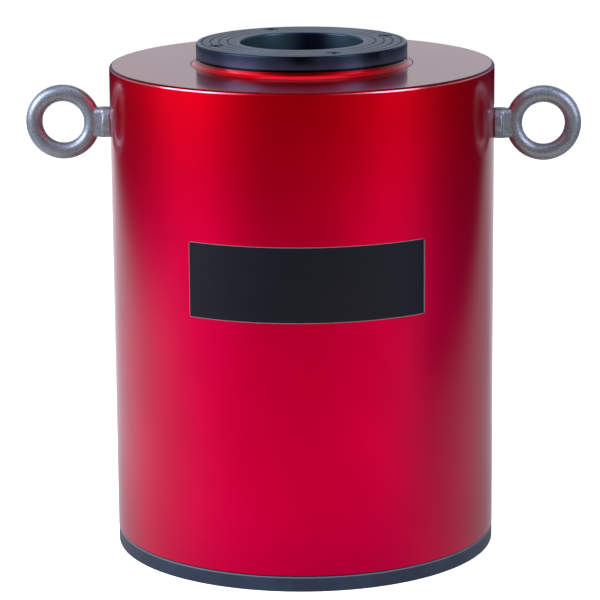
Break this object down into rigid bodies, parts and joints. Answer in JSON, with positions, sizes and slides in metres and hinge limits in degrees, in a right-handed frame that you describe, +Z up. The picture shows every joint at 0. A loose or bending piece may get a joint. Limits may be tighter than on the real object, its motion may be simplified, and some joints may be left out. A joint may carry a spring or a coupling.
{
  "type": "hollow plunger cylinder",
  "caption": "Single-acting hollow plunger hydraulic cylinder: red aluminium body, spring-return hollow plunger with grooved saddle, centre tube for a pull rod, and two side lifting eyes.",
  "frame": {"origin": "centre of the base plate's underside, on the main axis", "axes": "+Z up along the plunger's travel, the lifting eyes lie on X, the label side faces -Y, and the oil port is behind at 135 degrees from +X"},
  "size_m": [0.3986, 0.275, 0.3666],
  "materials": {
    "red_anodised": "satin red anodised",
    "black_oxide": "black oxide, satin",
    "black_screw": "black socket screw",
    "machined_steel": "machined",
    "hard_chrome": "ground hard chrome",
    "forged_steel": "forged and blasted, bare",
    "spring_steel": "oiled spring wire",
    "zinc_plate": "zinc plated",
    "seal_rubber": "moulded nitrile",
    "guide_band": "bronze-filled guide strip",
    "backup_ring": "machined hard plastic",
    "cap_plastic": "moulded"
  },
  "bodies": {
    "cylinder": {"cylinder_body": "red_anodised", "base_plate": "black_oxide", "base_screw_1": "zinc_plate", "base_screw_2": "zinc_plate", "base_screw_3": "zinc_plate", "base_screw_4": "zinc_plate", "base_screw_5": "zinc_plate", "base_screw_6": "zinc_plate", "bottom_head": "machined_steel", "head_seal": "seal_rubber", "tube_seal": "seal_rubber", "centre_tube": "hard_chrome", "wiper_ring": "seal_rubber", "gland_guide_band": "guide_band", "return_spring": "spring_steel", "eyebolt_left": "forged_steel", "eyebolt_right": "forged_steel", "coupler_body": "zinc_plate", "coupler_spring": "spring_steel"},
    "plunger": {"plunger": "hard_chrome", "saddle": "black_oxide", "saddle_screw_1": "black_screw", "saddle_screw_2": "black_screw", "saddle_screw_3": "black_screw", "saddle_screw_4": "black_screw", "piston_seal": "seal_rubber", "piston_backup_ring": "backup_ring", "piston_guide_band": "guide_band", "inner_seal": "seal_rubber", "inner_guide_band": "guide_band"},
    "coupler_valve": {"coupler_valve": "machined_steel"},
    "dust_cap": {"dust_cap": "cap_plastic"}
  },
  "joints": [
    {"name": "plunger_slide", "type": "slide", "parent": "cylinder", "child": "plunger", "axis": [0, 0, 1], "range_m": [0, 0.15], "stiffness_N_per_m": 13700, "springref_m": -0.03, "deforming": ["return_spring"]},
    {"name": "coupler_valve_slide", "type": "slide", "parent": "cylinder", "child": "coupler_valve", "axis": [0.7071, -0.7071, 0], "range_m": [0, 0.0035], "stiffness_N_per_m": 900, "springref_m": -0.008, "deforming": ["coupler_spring"]},
    {"name": "dust_cap_slide", "type": "slide", "parent": "cylinder", "child": "dust_cap", "axis": [-0.7071, 0.7071, 0], "range_m": [0, 0.032]}
  ]
}
